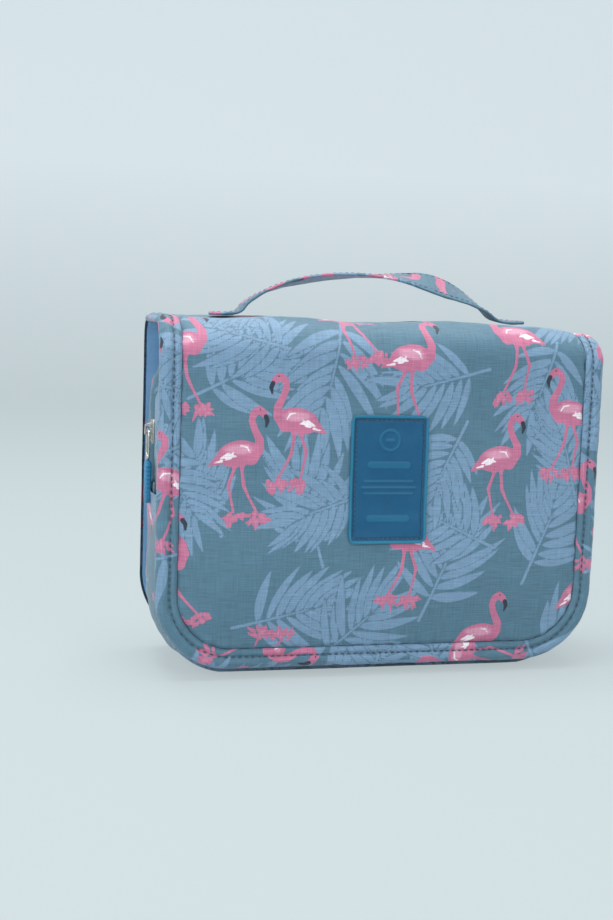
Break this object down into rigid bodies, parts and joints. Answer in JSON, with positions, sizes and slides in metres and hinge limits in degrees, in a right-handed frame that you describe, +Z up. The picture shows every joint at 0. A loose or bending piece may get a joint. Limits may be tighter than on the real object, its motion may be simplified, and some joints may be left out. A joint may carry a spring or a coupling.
{
  "type": "hanging toiletry bag",
  "caption": "Fold-over toiletry bag with a top handle, zip-around pouch, front flap with label, and a stowed swivel hook for hanging it open.",
  "frame": {"origin": "middle of the flat base, on the surface the bag stands on", "axes": "+X to the bag's right as seen from the front, +Y from the flap to the back, +Z up"},
  "size_m": [0.2421, 0.0761, 0.2129],
  "materials": {
    "printed_cloth": "woven polyester, satin",
    "border_cloth": "woven polyester, satin",
    "lining_cloth": "plain weave lining",
    "foam": "matte",
    "mesh_cloth": "mesh",
    "zip_tape": "matte",
    "zip_coil": "semi-gloss",
    "elastic": "ribbed",
    "webbing": "matte",
    "rubber_label": "satin",
    "rubber_tab": "satin",
    "hook_plastic": "gloss",
    "zinc": "polished",
    "touch_pad": "matte"
  },
  "bodies": {
    "pouch": {"back_cover": "printed_cloth", "back_lining": "lining_cloth", "lower_gusset": "printed_cloth", "rear_gusset": "printed_cloth", "lower_front_panel": "printed_cloth", "zip_tape_rear": "zip_tape", "zip_coil_rear": "zip_coil", "compartment_liner": "lining_cloth", "elastic_loops": "elastic", "loop_pad_left": "touch_pad", "loop_pad_right": "touch_pad", "lower_piping": "border_cloth", "zip_end_left": "border_cloth", "zip_end_right": "border_cloth"},
    "lid": {"lid_panel": "printed_cloth", "lid_gusset": "printed_cloth", "zip_tape_front": "zip_tape", "zip_coil_front": "zip_coil", "lid_piping": "border_cloth", "lid_lining": "lining_cloth", "lid_pocket": "mesh_cloth", "lid_pocket_binding": "elastic"},
    "bridge": {"bridge_cover": "printed_cloth", "bridge_lining": "lining_cloth", "handle_foot_left": "border_cloth", "handle_foot_right": "border_cloth"},
    "handle": {"handle_strap": "printed_cloth"},
    "flap": {"flap_panel": "printed_cloth", "flap_border": "border_cloth", "flap_foam": "foam", "flap_lining": "lining_cloth", "label_patch": "rubber_label", "flap_pocket": "mesh_cloth", "pocket_zip_tape": "zip_tape", "pocket_coil": "zip_coil", "hook_pad_left": "touch_pad", "hook_pad_right": "touch_pad", "hook_anchor": "webbing"},
    "hook_link": {"hook_webbing": "webbing", "swivel_socket": "hook_plastic", "hanging_hook": "hook_plastic"},
    "slider": {"zip_slider": "zinc"},
    "zip_pull": {"zip_pull_ring": "zinc", "zip_pull_tab": "rubber_tab"},
    "pocket_slider_body": {"pocket_slider": "zinc"},
    "pocket_pull_body": {"pocket_pull": "rubber_tab"}
  },
  "joints": [
    {"name": "bridge_open", "type": "hinge", "parent": "pouch", "child": "bridge", "pos_m": [0, 0.03248, 0.18249], "axis": [-1, 0, 0], "range_deg": [0, 90]},
    {"name": "flap_unfold", "type": "hinge", "parent": "bridge", "child": "flap", "pos_m": [0, -0.03273, 0.18073], "axis": [-1, 0, 0], "range_deg": [0, 90]},
    {"name": "lid_open", "type": "hinge", "parent": "pouch", "child": "lid", "pos_m": [0, -0.024, 0.0932], "axis": [1, 0, 0], "range_deg": [0, 60]},
    {"name": "hook_unfold", "type": "hinge", "parent": "flap", "child": "hook_link", "pos_m": [0, -0.0283, 0.0155], "axis": [-1, 0, 0], "range_deg": [0, 180]},
    {"name": "handle_fold", "type": "hinge", "parent": "bridge", "child": "handle", "pos_m": [0, 0.008, 0.19], "axis": [1, 0, 0], "range_deg": [-45, 45]},
    {"name": "zip_slide", "type": "slide", "parent": "pouch", "child": "slider", "axis": [0, 0, 1], "range_m": [-0.018, 0.012]},
    {"name": "zip_pull_swing", "type": "hinge", "parent": "slider", "child": "zip_pull", "pos_m": [-0.1199, 0.005, 0.125], "axis": [0, 1, 0], "range_deg": [0, 150]},
    {"name": "pocket_slide", "type": "slide", "parent": "flap", "child": "pocket_slider_body", "axis": [1, 0, 0], "range_m": [0, 0.168]},
    {"name": "pocket_pull_swing", "type": "hinge", "parent": "pocket_slider_body", "child": "pocket_pull_body", "pos_m": [-0.085, -0.0265, 0.1413], "axis": [0, 1, 0], "range_deg": [-45, 45]}
  ],
  "couplings": [
    {"joint": "flap_unfold", "follows": "bridge_open", "ratio": 1},
    {"joint": "lid_open", "follows": "bridge_open", "ratio": 0.66667},
    {"joint": "hook_unfold", "follows": "bridge_open", "ratio": 2}
  ]
}
